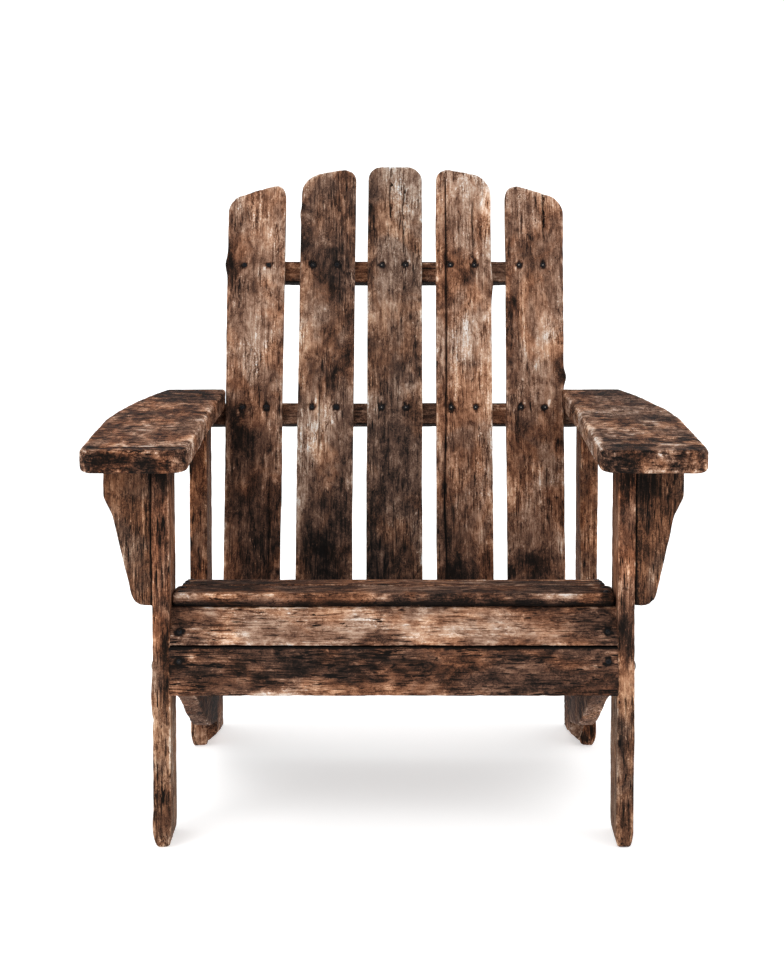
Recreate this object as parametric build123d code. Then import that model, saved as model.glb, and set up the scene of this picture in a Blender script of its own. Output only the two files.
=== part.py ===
"""Adirondack garden chair, built as separate boards and fasteners.

Millimetres, +Z up. X runs across the chair, +Y points from the sitter's knees to
the back, and left and right are as seen from the front. While the model is built,
Y = 0 is the front face of the front legs and Z = 0 is the ground. The finished
chair is moved so that Y = 0 is the middle of its depth.
"""
from build123d import *
import os
from math import cos, radians, sin, sqrt, tan

# ---------------------------------------------------------------- driving sizes
# Seat frame
frame_width = 546.0             # over the outer faces of the two stringers
stringer_thickness = 22.0
leg_thickness = 21.5
leg_depth = 89.0
post_thickness = 24.0
post_depth = 100.0
post_housing = 9.0              # how far each post is let into its stringer
foot_round = 5.0                # rounding of the lower ends of legs and posts
arris_round = 2.5               # worn edge of every board

# Seat
seat_height = 313.0             # top of the front seat slat
seat_slat_count = 7
seat_slat_width = 62.0
seat_slat_gap = 5.0
seat_slat_thickness = 18.0
seat_slat_inset = 7.0           # slat ends short of the stringers' outer faces
seat_nose = 20.0                # front edge of the first slat behind the legs' front
seat_crown_radius = 930.0       # curve of the stringers' top edges at the front
seat_slope = 18.0               # degrees, the flat rear part of the seat
nose_round = 7.0                # bullnose of the front slat

# Aprons between the front legs
apron_thickness = 18.0
lower_apron_height = 61.5
upper_apron_rise = 38.5         # vertical height of the tilted upper apron
upper_apron_tilt = 33.0         # degrees back from upright
apron_gap = 1.5
apron_end_gap = 0.3

# Stringers, which run down from the front legs to the ground at the back
stringer_front_lift = 4.0       # underside above the lower apron's bottom edge
stringer_foot_height = 37.0     # underside above the ground where it meets a post
underside_sag = 11.0            # how far the underside bows down between those two
heel_length = 59.0              # flat on the ground
heel_overhang = 30.0            # rear end behind the posts
tail_round = 28.0               # top corner of the plumb rear end

# Back
back_recline = 20.0             # degrees from upright
back_seat_gap = 1.5             # between the last seat slat and the back slats
back_slat_count = 5
back_slat_width = 78.0
back_slat_thickness = 18.0
back_side_gap = 11.0            # between the outer slats and the stringers
outer_slat_flare = 5.5          # extra width at the top of each outer slat
back_length_above_seat = 644.0  # centre slat, measured along the slat
back_length_below_seat = 110.0
back_top_radius = 520.0         # arc through the tops of the slats
back_corner_round = 14.0
rail_width = 32.0
rail_thickness = 20.0
upper_rail_inset = 9.0          # rail ends short of the outer slats' outer edges
upper_rail_from_top = 156.0     # rail centre below the centre slat's top
lower_rail_drop = 8.0           # rail centre below the arms' undersides
bottom_rail_lift = 20.0         # rail centre above the lower ends of the slats

# Arms
arm_top_height = 501.0
arm_thickness = 28.0
arm_front_overhang = 61.0
arm_outer_overhang = 83.0
arm_side_gap = 1.5              # between the arms and the widest part of the back
arm_rear_setback = 2.0          # arms end this far before the posts' rear faces
arm_taper_start = 240.0
arm_rear_width = 80.0
arm_side_bow = 8.5              # how far the tapering outer edge swells out
arm_front_round = 24.0
arm_rear_round = 10.0
arm_arris_round = 5.0

# Brackets under the arms, outside the front legs
bracket_thickness = 20.0
bracket_setback = 4.0
bracket_width = 59.0
bracket_height = 172.0
bracket_shoulder = 38.0         # upright part of the outer edge
bracket_waist_drop = 61.0
bracket_waist_width = 47.5
bracket_foot_width = 22.5
bracket_shoulder_round = 14.0
bracket_foot_round = 19.0

# Screws
screw_radius = 2.2
screw_head_radius = 4.3
screw_head_height = 2.4
screw_point = 4.0
screw_bite = 16.0               # length held in the second board
screw_clearance = 0.05
pair_spread = 35.0              # the two screws across a back slat
seat_pair_spread = 32.0         # the two screws at each end of a seat slat
rail_screw_lift = 5.0           # slat screws above the rails' centre lines
rail_end_pair = 16.0            # the two screws at each end of the bottom rail
rail_post_screw_drop = 6.0      # lower rail's end screws below its centre line
upper_apron_screw = 16.0        # up the slope from the upper apron's bottom edge
lower_apron_screw = 20.0        # down from the lower apron's top edge
plug_radius = 5.0
plug_thickness = 7.5
arm_screw_edge = 24.0           # arm screws in from the legs' and posts' edges
bracket_screw_drops = (40.0, 120.0)

# Carriage bolts
bolt_radius = 4.0
bolt_head_radius = 9.0
bolt_head_height = 4.0
bolt_clearance = 0.05
bolt_tail = 2.5                 # thread showing past the nut
washer_radius = 9.0
washer_thickness = 1.6
nut_flats = 13.0
nut_thickness = 6.5
leg_bolt_edge = 25.0            # bolts in from the leg's rear edge
leg_bolt_front = 12.0           # front bolt behind the aprons
leg_bolt_drop = 32.0            # front bolt below the lower apron's top edge
leg_bolt_step = 36.0            # rear bolt above the front one
post_bolt_edge = 27.0
post_bolt_heights = (78.0, 122.0)

# ---------------------------------------------------------------- derived places
stringer_outer = frame_width / 2
stringer_inner = stringer_outer - stringer_thickness
stringer_middle = stringer_outer - stringer_thickness / 2
leg_outer = stringer_outer + leg_thickness
leg_middle = stringer_outer + leg_thickness / 2
post_inner = stringer_outer - post_housing
post_outer = post_inner + post_thickness
post_middle = post_inner + post_thickness / 2
arm_underside = arm_top_height - arm_thickness

seat_bed = seat_height - seat_slat_thickness
upper_apron_top = seat_bed - apron_gap
upper_apron_bottom = upper_apron_top - upper_apron_rise
upper_apron_lean = upper_apron_rise * tan(radians(upper_apron_tilt))
upper_apron_run = apron_thickness / cos(radians(upper_apron_tilt))
lower_apron_top = upper_apron_bottom - apron_gap
lower_apron_bottom = lower_apron_top - lower_apron_height
stringer_front_bottom = lower_apron_bottom + stringer_front_lift

recline_sin = sin(radians(back_recline))
recline_cos = cos(radians(back_recline))


def seat_bed_point(distance):
    """Point on the stringers' top edge, and its slope, this far along it."""
    crown_length = seat_crown_radius * radians(seat_slope)
    angle = min(distance / seat_crown_radius, radians(seat_slope))
    y = seat_nose + seat_crown_radius * sin(angle)
    z = seat_bed - seat_crown_radius * (1 - cos(angle))
    beyond = max(distance - crown_length, 0.0)
    return y + beyond * cos(angle), z - beyond * sin(angle), angle


def seat_slat_plane(index):
    """Frame on a seat slat's underside: x across the chair, y to the rear, z up."""
    middle = seat_slat_width / 2 + index * (seat_slat_width + seat_slat_gap)
    y, z, angle = seat_bed_point(middle)
    return Plane(origin=(0, y, z), x_dir=(1, 0, 0), z_dir=(0, sin(angle), cos(angle)))


# The back's front face passes just behind the top rear edge of the last seat slat.
last_slat = seat_slat_plane(seat_slat_count - 1)
seat_corner = last_slat.from_local_coords(
    Vector(0, seat_slat_width / 2, seat_slat_thickness))
back_foot_y = seat_corner.Y + back_seat_gap / recline_cos
back_plane = Plane(origin=(0, back_foot_y, seat_corner.Z), x_dir=(1, 0, 0),
                   z_dir=(0, -recline_cos, recline_sin))
back_half_width = stringer_inner - back_side_gap
back_slat_gap = ((2 * back_half_width - back_slat_count * back_slat_width)
                 / (back_slat_count - 1))
back_slat_pitch = back_slat_width + back_slat_gap
rail_depth = back_slat_thickness + rail_thickness / 2


def back_distance(height):
    """Distance along the back at which the rails' front faces reach this height."""
    rail_face = seat_corner.Z - back_slat_thickness * recline_sin
    return (height - rail_face) / recline_cos


upper_rail_at = back_length_above_seat - upper_rail_from_top
lower_rail_at = back_distance(arm_underside - lower_rail_drop)
bottom_rail_at = bottom_rail_lift - back_length_below_seat

# The lower rail's front face crosses the posts' rear faces at the rail's middle.
post_rear = back_plane.from_local_coords(
    Vector(0, lower_rail_at, -back_slat_thickness)).Y
post_front = post_rear - post_depth
stringer_rear = post_rear + heel_overhang

arm_inner = back_half_width + outer_slat_flare + arm_side_gap
arm_outer = leg_outer + arm_outer_overhang
arm_rear = post_rear - arm_rear_setback


# ---------------------------------------------------------------- making helpers
def plate(points, x_from, x_to, round_by=arris_round):
    """Board with an outline of (y, z) points and its faces square to X."""
    outline = make_face(Polyline(*points, close=True))
    board = extrude(Plane.YZ.offset(x_from) * outline, x_to - x_from)
    return fillet(board.edges(), round_by) if round_by else board


def slab(plane, x_range, y_range, z_range, round_by=arris_round):
    """Straight board given by its extent along the three axes of a plane."""
    size = [high - low for low, high in (x_range, y_range, z_range)]
    middle = [(high + low) / 2 for low, high in (x_range, y_range, z_range)]
    board = Box(*size)
    board = fillet(board.edges(), round_by) if round_by else board
    return plane.location * Pos(*middle) * board


def mirrored(shape):
    return mirror(shape, Plane.YZ)


def facing(point, outward):
    """Location whose Z axis leaves the wood at a fastener's head."""
    return Plane(origin=point, z_dir=outward).location


def turned(points):
    """Solid of revolution about Z from (radius, z) points, closed along the axis."""
    outline = make_face(Polyline(*points, close=True))
    return revolve(Plane.XZ * outline, Axis.Z, 360)


def domed_head(radius, height):
    """Low dome standing on Z = 0."""
    ball = (radius**2 + height**2) / (2 * height)
    dome = Pos(0, 0, height - ball) * Sphere(ball)
    return dome & Pos(0, 0, height) * Cylinder(2 * radius, 2 * height)


def screw(length):
    shank = turned([(0, 0), (screw_radius, 0), (screw_radius, screw_point - length),
                    (0, -length)])
    return domed_head(screw_head_radius, screw_head_height) + shank


def screw_hole(length):
    radius = screw_radius + screw_clearance
    depth = length + screw_clearance
    return Pos(0, 0, -depth / 2) * Cylinder(radius, depth)


def group(shapes):
    return Compound(children=list(shapes))


# ---------------------------------------------------------------- the boards
def make_leg():
    """Right front leg: a straight board standing across the stringer's end."""
    leg = slab(Plane.XY, (stringer_outer, leg_outer), (0, leg_depth),
               (0, arm_underside), 0)
    upright = leg.edges().filter_by(Axis.Z)
    leg = fillet(upright, arris_round)
    return fillet(leg.faces().sort_by(Axis.Z)[0].edges(), foot_round)


def post_space():
    """The right post's straight block, for whatever is notched round it."""
    return slab(Plane.XY, (post_inner, post_outer), (post_front, post_rear),
                (0, arm_underside), 0)


def make_post():
    """Right rear post, let into the stringer and reaching up to the arm."""
    post = post_space()
    upright = post.edges().filter_by(Axis.Z)
    post = fillet(upright, arris_round)
    return fillet(post.faces().sort_by(Axis.Z)[0].edges(), foot_round)


def make_stringer():
    """Right stringer: crowned top edge under the seat, bowed underside, flat heel."""
    slope_foot = upper_apron_run - apron_thickness
    slope_foot_z = upper_apron_bottom - slope_foot / tan(radians(upper_apron_tilt))
    bed_front_y = (apron_thickness
                   + (seat_bed - slope_foot_z) * tan(radians(upper_apron_tilt)))
    crown_end = seat_bed_point(seat_crown_radius * radians(seat_slope))
    crown_middle_angle = (radians(seat_slope)
                          + (bed_front_y - seat_nose) / seat_crown_radius) / 2
    crown_start = seat_bed_point(bed_front_y - seat_nose)
    crown_middle = seat_bed_point(seat_crown_radius * crown_middle_angle)
    tail_top_z = crown_end[1] - (stringer_rear - crown_end[0]) * tan(radians(seat_slope))

    front_foot = (apron_thickness, stringer_front_bottom)
    post_foot = (post_front, stringer_foot_height)
    sag_y = (front_foot[0] + post_foot[0]) / 2
    sag_z = (front_foot[1] + post_foot[1]) / 2 - underside_sag
    heel_front = (stringer_rear - heel_length, 0)
    outline = [
        Polyline(crown_start[:2], (apron_thickness, slope_foot_z), front_foot),
        ThreePointArc(front_foot, (sag_y, sag_z), post_foot),
        Polyline(post_foot, heel_front, (stringer_rear, 0), (stringer_rear, tail_top_z),
                 crown_end[:2]),
        ThreePointArc(crown_end[:2], crown_middle[:2], crown_start[:2]),
    ]
    board = extrude(Plane.YZ.offset(stringer_inner) * make_face(outline),
                    stringer_thickness)
    tail_edge = (board.edges().filter_by(Axis.X)
                 .filter_by(lambda e: e.center().Z > stringer_foot_height)
                 .sort_by(Axis.Y)[-1])
    return fillet(tail_edge, tail_round) - post_space()


def make_apron_lower():
    end = stringer_outer - apron_end_gap
    return slab(Plane.XY, (-end, end), (0, apron_thickness),
                (lower_apron_bottom, lower_apron_top))


def make_apron_upper():
    """Tilted board with level edges, between the lower apron and the seat's nose."""
    end = stringer_outer - apron_end_gap
    points = [(0, upper_apron_bottom), (upper_apron_run, upper_apron_bottom),
              (upper_apron_run + upper_apron_lean, upper_apron_top),
              (upper_apron_lean, upper_apron_top)]
    return plate(points, -end, end)


def make_seat_slat(index):
    end = stringer_outer - seat_slat_inset
    half = seat_slat_width / 2
    board = slab(Plane.XY, (-end, end), (-half, half), (0, seat_slat_thickness), 0)
    front = board.faces().sort_by(Axis.Y)[0].edges().filter_by(Axis.X)
    if index == 0:
        board = fillet(front, nose_round)
        board = fillet(board.faces().sort_by(Axis.Y)[-1].edges().filter_by(Axis.X),
                       arris_round)
    else:
        board = fillet(board.edges(), arris_round)
    return seat_slat_plane(index).location * board


def slat_middle(index):
    return (index - (back_slat_count - 1) / 2) * back_slat_pitch


def make_back_slat(index):
    """Back slat with its top on the common arc; the outer two widen upwards."""
    middle = slat_middle(index)
    half = back_slat_width / 2
    left = right = half
    if index == 0:
        left = half + outer_slat_flare
    if index == back_slat_count - 1:
        right = half + outer_slat_flare

    def top(x):
        drop = back_top_radius - sqrt(back_top_radius**2 - x**2)
        return back_length_above_seat - drop

    low = -back_length_below_seat
    corner_left = (middle - left, top(middle - left))
    corner_right = (middle + right, top(middle + right))
    outline = [
        Polyline(corner_left, (middle - half, low), (middle + half, low), corner_right),
        ThreePointArc(corner_right, (middle, top(middle)), corner_left),
    ]
    board = extrude(make_face(outline), -back_slat_thickness)
    top_edges = board.edges().filter_by(Axis.Z).sort_by(Axis.Y)[-2:]
    board = fillet(top_edges, back_corner_round)
    faces = board.faces().filter_by(Axis.Z)
    board = fillet(faces.edges(), arris_round)
    return back_plane.location * board


def rail(distance, half_length):
    low = -back_slat_thickness - rail_thickness
    return slab(back_plane, (-half_length, half_length),
                (distance - rail_width / 2, distance + rail_width / 2),
                (low, -back_slat_thickness))


def make_arm():
    """Right arm in plan: straight inner edge, outer edge curving in to the rear."""
    taper_start = Vector(arm_outer, arm_taper_start)
    rear_corner = Vector(arm_inner + arm_rear_width, arm_rear)
    along = (rear_corner - taper_start).normalized()
    swell = Vector(along.Y, -along.X) * arm_side_bow
    outline = [
        Polyline(rear_corner, (arm_inner, arm_rear), (arm_inner, -arm_front_overhang),
                 (arm_outer, -arm_front_overhang), taper_start),
        ThreePointArc(taper_start, (taper_start + rear_corner) / 2 + swell, rear_corner),
    ]
    board = extrude(Plane.XY.offset(arm_underside) * make_face(outline), arm_thickness)
    corners = board.edges().filter_by(Axis.Z)
    board = fillet(corners.sort_by(Axis.Y)[:2], arm_front_round)
    board = fillet(board.edges().filter_by(Axis.Z).sort_by(Axis.Y)[-2:], arm_rear_round)
    top = board.faces().sort_by(Axis.Z)[-1].edges()
    under = board.faces().sort_by(Axis.Z)[0].edges()
    return fillet(top + under, arm_arris_round)


def make_bracket():
    """Right bracket: a shouldered board under the arm, tapering down to the leg."""
    def at(width, drop):
        return leg_outer + width, arm_underside - drop

    points = [at(0, 0), at(bracket_width, 0), at(bracket_width, bracket_shoulder),
              at(bracket_waist_width, bracket_waist_drop),
              at(bracket_foot_width, bracket_height), at(0, bracket_height)]
    face = make_face(Polyline(*points, close=True))
    plane = Plane(origin=(0, bracket_setback, 0), x_dir=(1, 0, 0), z_dir=(0, -1, 0))
    board = extrude(plane * face, -bracket_thickness)
    across = board.edges().filter_by(Axis.Y)

    def corner(width, drop):
        x, z = at(width, drop)
        return across.sort_by_distance((x, bracket_setback + bracket_thickness / 2, z))[0]

    board = fillet([corner(bracket_width, bracket_shoulder),
                    corner(bracket_waist_width, bracket_waist_drop)],
                   bracket_shoulder_round)
    across = board.edges().filter_by(Axis.Y)
    board = fillet(corner(bracket_foot_width, bracket_height), bracket_foot_round)
    return fillet(board.faces().filter_by(Axis.Y).edges(), arris_round)


# ---------------------------------------------------------------- fastener places
slat_screw_length = back_slat_thickness + screw_bite
seat_screw_length = seat_slat_thickness + screw_bite
apron_screw_length = apron_thickness + screw_bite
rail_end_recess = post_housing + screw_head_height
rail_end_screw_length = stringer_thickness - rail_end_recess + screw_bite
rail_post_screw_length = rail_thickness + screw_bite
bracket_screw_length = leg_thickness + screw_bite
plug_seat = plug_thickness + screw_head_height
arm_screw_length = arm_thickness - plug_seat + screw_bite


def slat_screw_places(distance):
    """Two screws through each back slat into the rail at this distance."""
    places = []
    for index in range(back_slat_count):
        for side in (-1, 1):
            x = slat_middle(index) + side * pair_spread / 2
            places.append(back_plane.location * Pos(x, distance + rail_screw_lift, 0))
    return places


def seat_screw_places(index):
    places = []
    for x in (-stringer_middle, stringer_middle):
        for y in (-seat_pair_spread / 2, seat_pair_spread / 2):
            places.append(seat_slat_plane(index).location
                          * Pos(x, y, seat_slat_thickness))
    return places


def apron_screw_places():
    tilt = radians(upper_apron_tilt)
    slope_y = upper_apron_screw * sin(tilt)
    slope_z = upper_apron_bottom + upper_apron_screw * cos(tilt)
    upper = [facing((x, slope_y, slope_z), (0, -cos(tilt), sin(tilt)))
             for x in (-stringer_middle, stringer_middle)]
    lower = [facing((x, 0, lower_apron_top - lower_apron_screw), (0, -1, 0))
             for x in (-stringer_middle, stringer_middle)]
    return upper, lower


def rail_end_screw_places(side):
    """Two screws through a stringer into the bottom rail, let in past the housing."""
    x = side * (stringer_outer - rail_end_recess)
    places = []
    for step in (-rail_end_pair / 2, rail_end_pair / 2):
        middle = back_plane.from_local_coords(
            Vector(0, bottom_rail_at + step, -rail_depth))
        places.append(facing((x, middle.Y, middle.Z), (side, 0, 0)))
    return places


def rail_post_screw_places(side):
    """A screw through the lower rail into the rear of a post, clear of the arm."""
    depth = -back_slat_thickness - rail_thickness
    distance = lower_rail_at - rail_post_screw_drop
    return [back_plane.location * Pos(side * post_middle, distance, depth)
            * Rot(0, 180, 0)]


def arm_screw_places(side):
    """Screws down through an arm into the leg, the bracket and the post."""
    z = arm_top_height - plug_seat
    bracket_x = leg_outer + bracket_waist_width / 2
    bracket_y = bracket_setback + bracket_thickness / 2
    spots = {
        "leg": [(leg_middle, arm_screw_edge), (leg_middle, leg_depth - arm_screw_edge)],
        "bracket": [(bracket_x, bracket_y)],
        "post": [(post_middle, post_front + arm_screw_edge),
                 (post_middle, post_rear - arm_screw_edge)],
    }
    return {name: [Pos(side * x, y, z) for x, y in points]
            for name, points in spots.items()}


def bracket_screw_places(side):
    """Screws from the leg's inner face into the bracket's edge, heads let in."""
    y = bracket_setback + bracket_thickness / 2
    x = stringer_outer + screw_head_height
    return [facing((side * x, y, arm_underside - drop), (-side, 0, 0))
            for drop in bracket_screw_drops]


def leg_bolt_places(side):
    front = (apron_thickness + leg_bolt_front, lower_apron_top - leg_bolt_drop)
    rear = (leg_depth - leg_bolt_edge, front[1] + leg_bolt_step)
    return [facing((side * leg_outer, y, z), (side, 0, 0)) for y, z in (front, rear)]


def post_bolt_places(side):
    spots = zip((post_front + post_bolt_edge, post_rear - post_bolt_edge),
                post_bolt_heights)
    return [facing((side * post_outer, y, z), (side, 0, 0)) for y, z in spots]


def cut(board, places, length):
    """Bore a board for screws of this length."""
    hole = screw_hole(length)
    return board - [place * hole for place in places]


def bore(board, places, reach):
    """Bore a board right through for carriage bolts."""
    hole = Pos(0, 0, -reach / 2) * Cylinder(bolt_radius + bolt_clearance, reach)
    return board - [place * hole for place in places]


def counterbore(board, places, radius, depth):
    """Open a round recess from a fastener's seat outwards."""
    recess = Pos(0, 0, depth / 2) * Cylinder(radius + screw_clearance, depth)
    return board - [place * recess for place in places]


def carriage_bolt(grip):
    length = grip + washer_thickness + nut_thickness + bolt_tail
    shank = Pos(0, 0, -length / 2) * Cylinder(bolt_radius, length)
    return domed_head(bolt_head_radius, bolt_head_height) + shank


def ring(flat_shape, thickness, below):
    """Washer or nut round a bolt, its upper face this far below the head."""
    body = extrude(flat_shape - Circle(bolt_radius + bolt_clearance), thickness)
    return Pos(0, 0, -below - thickness) * body


leg_grip = leg_thickness + stringer_thickness
post_grip = post_thickness + stringer_thickness - post_housing
nut_outline = RegularPolygon(nut_flats / sqrt(3), 6)
washer_outline = Circle(washer_radius)

# ---------------------------------------------------------------- assembly
nodes = {}
upper_apron_places, lower_apron_places = apron_screw_places()
seat_places = [seat_screw_places(index) for index in range(seat_slat_count)]
all_seat_places = [place for places in seat_places for place in places]
upper_places = slat_screw_places(upper_rail_at)
lower_places = slat_screw_places(lower_rail_at)
bottom_places = slat_screw_places(bottom_rail_at)
sides = {"right": 1, "left": -1}
rail_end_places = [p for s in sides.values() for p in rail_end_screw_places(s)]
rail_post_places = [p for s in sides.values() for p in rail_post_screw_places(s)]
bracket_places = [p for s in sides.values() for p in bracket_screw_places(s)]
leg_bolts_at = [p for s in sides.values() for p in leg_bolt_places(s)]
post_bolts_at = [p for s in sides.values() for p in post_bolt_places(s)]
arm_places = [p for s in sides.values() for spots in arm_screw_places(s).values()
              for p in spots]

lower_rail = rail(lower_rail_at, post_outer)
for side_name, side in sides.items():
    arm_spots = arm_screw_places(side)

    def sided(shape):
        return shape if side > 0 else mirrored(shape)

    leg = cut(sided(make_leg()), bracket_screw_places(side), bracket_screw_length)
    leg = counterbore(leg, bracket_screw_places(side), screw_head_radius,
                      screw_head_height)
    leg = cut(leg, arm_spots["leg"], arm_screw_length)
    nodes["front_leg_" + side_name] = bore(leg, leg_bolt_places(side), leg_grip)

    post = cut(sided(make_post()) - lower_rail, arm_spots["post"], arm_screw_length)
    post = cut(post, rail_post_screw_places(side), rail_post_screw_length)
    nodes["rear_post_" + side_name] = bore(post, post_bolt_places(side), post_grip)

    stringer = cut(sided(make_stringer()), all_seat_places, seat_screw_length)
    stringer = cut(stringer, upper_apron_places + lower_apron_places,
                   apron_screw_length)
    stringer = cut(stringer, rail_end_screw_places(side), rail_end_screw_length)
    stringer = counterbore(stringer, rail_end_screw_places(side), screw_head_radius,
                           rail_end_recess)
    stringer = bore(stringer, leg_bolt_places(side), leg_grip)
    nodes["stringer_" + side_name] = bore(stringer, post_bolt_places(side), post_grip)

    every_arm_spot = [place for spots in arm_spots.values() for place in spots]
    arm = cut(sided(make_arm()), every_arm_spot, arm_screw_length)
    nodes["arm_" + side_name] = counterbore(arm, every_arm_spot, plug_radius,
                                            arm_thickness)

    bracket = cut(sided(make_bracket()), arm_spots["bracket"], arm_screw_length)
    nodes["bracket_" + side_name] = cut(bracket, bracket_screw_places(side),
                                        bracket_screw_length)

nodes["apron_lower"] = cut(make_apron_lower(), lower_apron_places, apron_screw_length)
nodes["apron_upper"] = cut(
    cut(make_apron_upper(), upper_apron_places, apron_screw_length),
    seat_places[0], seat_screw_length)
both_posts = [post_space(), mirrored(post_space())]
for index in range(seat_slat_count):
    nodes[f"seat_slat_{index + 1}"] = cut(make_seat_slat(index) - both_posts,
                                          seat_places[index], seat_screw_length)
for index in range(back_slat_count):
    own = slice(2 * index, 2 * index + 2)
    slat_places = upper_places[own] + lower_places[own] + bottom_places[own]
    nodes[f"back_slat_{index + 1}"] = cut(make_back_slat(index), slat_places,
                                          slat_screw_length)

upper_rail = rail(upper_rail_at, back_half_width - upper_rail_inset)
nodes["upper_back_rail"] = cut(upper_rail, upper_places, slat_screw_length)
nodes["lower_back_rail"] = cut(cut(lower_rail, lower_places, slat_screw_length),
                               rail_post_places, rail_post_screw_length)
nodes["bottom_back_rail"] = cut(
    cut(rail(bottom_rail_at, stringer_inner), bottom_places, slat_screw_length),
    rail_end_places, rail_end_screw_length)

screw_sets = {
    "upper_rail_screws": (upper_places, slat_screw_length),
    "lower_rail_screws": (lower_places, slat_screw_length),
    "bottom_rail_screws": (bottom_places, slat_screw_length),
    "rail_end_screws": (rail_end_places, rail_end_screw_length),
    "rail_post_screws": (rail_post_places, rail_post_screw_length),
    "seat_screws": (all_seat_places, seat_screw_length),
    "apron_screws": (upper_apron_places + lower_apron_places, apron_screw_length),
    "bracket_screws": (bracket_places, bracket_screw_length),
    "arm_screws": (arm_places, arm_screw_length),
}
for name, (places, length) in screw_sets.items():
    nodes[name] = group(place * screw(length) for place in places)
plug = Pos(0, 0, screw_head_height + plug_thickness / 2) * Cylinder(plug_radius,
                                                                    plug_thickness)
nodes["arm_plugs"] = group(place * plug for place in arm_places)

bolt_sets = {"leg": (leg_bolts_at, leg_grip), "post": (post_bolts_at, post_grip)}
for name, (places, grip) in bolt_sets.items():
    bolt = carriage_bolt(grip)
    washer = ring(washer_outline, washer_thickness, grip)
    nut = ring(nut_outline, nut_thickness, grip + washer_thickness)
    nodes[name + "_bolts"] = group(place * bolt for place in places)
    nodes[name + "_washers"] = group(place * washer for place in places)
    nodes[name + "_nuts"] = group(place * nut for place in places)

# ---------------------------------------------------------------- writing
front_edge = min(shape.bounding_box().min.Y for shape in nodes.values())
rear_edge = max(shape.bounding_box().max.Y for shape in nodes.values())
centring = Pos(0, -(front_edge + rear_edge) / 2, 0)
os.makedirs("parts", exist_ok=True)
for name, shape in nodes.items():
    export_step(centring * shape, f"parts/{name}.step")
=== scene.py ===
"""Weathered softwood garden chair: worn boards, blackened screws, light and camera.

Boards are made from the CAD nodes in millimetres, in their own frames: u across, v
through the board towards the face that shows, and w along it. In the tables, places are
shares from -1 to 1 across a board and from 0 to 1 along it:

patch: place across and along, width and length in shares, what the tone gains
crack: place across, start and end along, half its width, its depth, its wander
knot:  side, place along, how far it swells the board's long edge, its reach
"""
from math import cos, pi, radians, sin

import bpy
import numpy as np
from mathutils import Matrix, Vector


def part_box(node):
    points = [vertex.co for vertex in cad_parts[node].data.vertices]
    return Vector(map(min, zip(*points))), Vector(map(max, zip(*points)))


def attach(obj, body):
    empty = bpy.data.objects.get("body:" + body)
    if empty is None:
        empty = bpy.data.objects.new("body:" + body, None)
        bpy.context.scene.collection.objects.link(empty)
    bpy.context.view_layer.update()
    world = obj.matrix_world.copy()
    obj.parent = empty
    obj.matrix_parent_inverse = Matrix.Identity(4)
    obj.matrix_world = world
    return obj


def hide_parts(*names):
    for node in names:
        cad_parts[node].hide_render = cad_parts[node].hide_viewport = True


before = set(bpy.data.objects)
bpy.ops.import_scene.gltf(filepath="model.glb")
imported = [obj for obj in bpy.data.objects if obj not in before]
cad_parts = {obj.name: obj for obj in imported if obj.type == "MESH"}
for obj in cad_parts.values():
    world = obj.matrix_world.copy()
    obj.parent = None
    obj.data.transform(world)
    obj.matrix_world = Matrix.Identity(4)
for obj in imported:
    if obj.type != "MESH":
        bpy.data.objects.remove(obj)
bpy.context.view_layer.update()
BODY = "root"
MM = 0.001
scene = bpy.context.scene
SIDES = (("left", -1), ("right", 1))
PLAIN = (1.0, 1.0, 1.0)  # a tint that changes nothing

# ------ sizes, millimetres
GRAIN_STEP = 3.4  # mesh spacing along a board
ACROSS_STEP = 1.9  # mesh spacing across it
THROUGH_STEP = 2.2  # least mesh spacing through it
END_DENSE = 5.0  # length of the closer spacing at a board's ends
ROUND_DENSE = 1.2  # its width along the long edges, in edge radii
DENSE_SHARES = (0, 0.1, 0.25, 0.45, 0.7, 1.0)
BREAK_HALF = 0.25  # half the spacing where a board's section jumps
ARRIS = 2.8  # worn edge radius of an ordinary board
FLAT_HALF = 0.2  # half the flat that is left between two round edges

# Where a CAD board's sections are read
STATIONS, STATION_SPARE, BREAK_SPARE = 260, 0.02, 0.2
END_STATIONS = (0.3, 0.8, 1.6, 2.6, 4.0, 6.0, 9.0, 13.0)

# Relief: sizes across, through and along the grain, and heights
RIPPLE, RIPPLE_RISE = (34.0, 34.0, 110.0), 0.5
FIBRE, FIBRE_RISE = (2.6, 2.6, 48.0), 0.26
THREAD_FINER, THREAD_RISE = 2.1, 0.12  # finer fibres among them
CHIP, CHIP_OUT = (5.0, 5.0, 13.0), -0.15  # chips of the edges, and the least one
WORN_REACH = 3.2  # how far in from an edge the wear fades
PATCH_DRIFT, DRIFT_ACROSS, DRIFT_ALONG = (30.0, 30.0, 42.0), 8.0, 18.0
END_FULL, END_FADE = 1.3, 7.0
TINT_FROM, TINT_OVER = 0.35, 0.3  # where one tint turns into the other

# Cracks: bluntness of their ends, waves along them, how far they pull the mesh along,
# the share of the depth beside them, and the depth at which their painted shade is all
# black
CRACK_BLUNT, CRACK_WAVES, CRACK_PULL, CRACK_SIDE, CRACK_BLACK = 6, 5.0, 14.0, 0.12, 1.5

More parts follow.
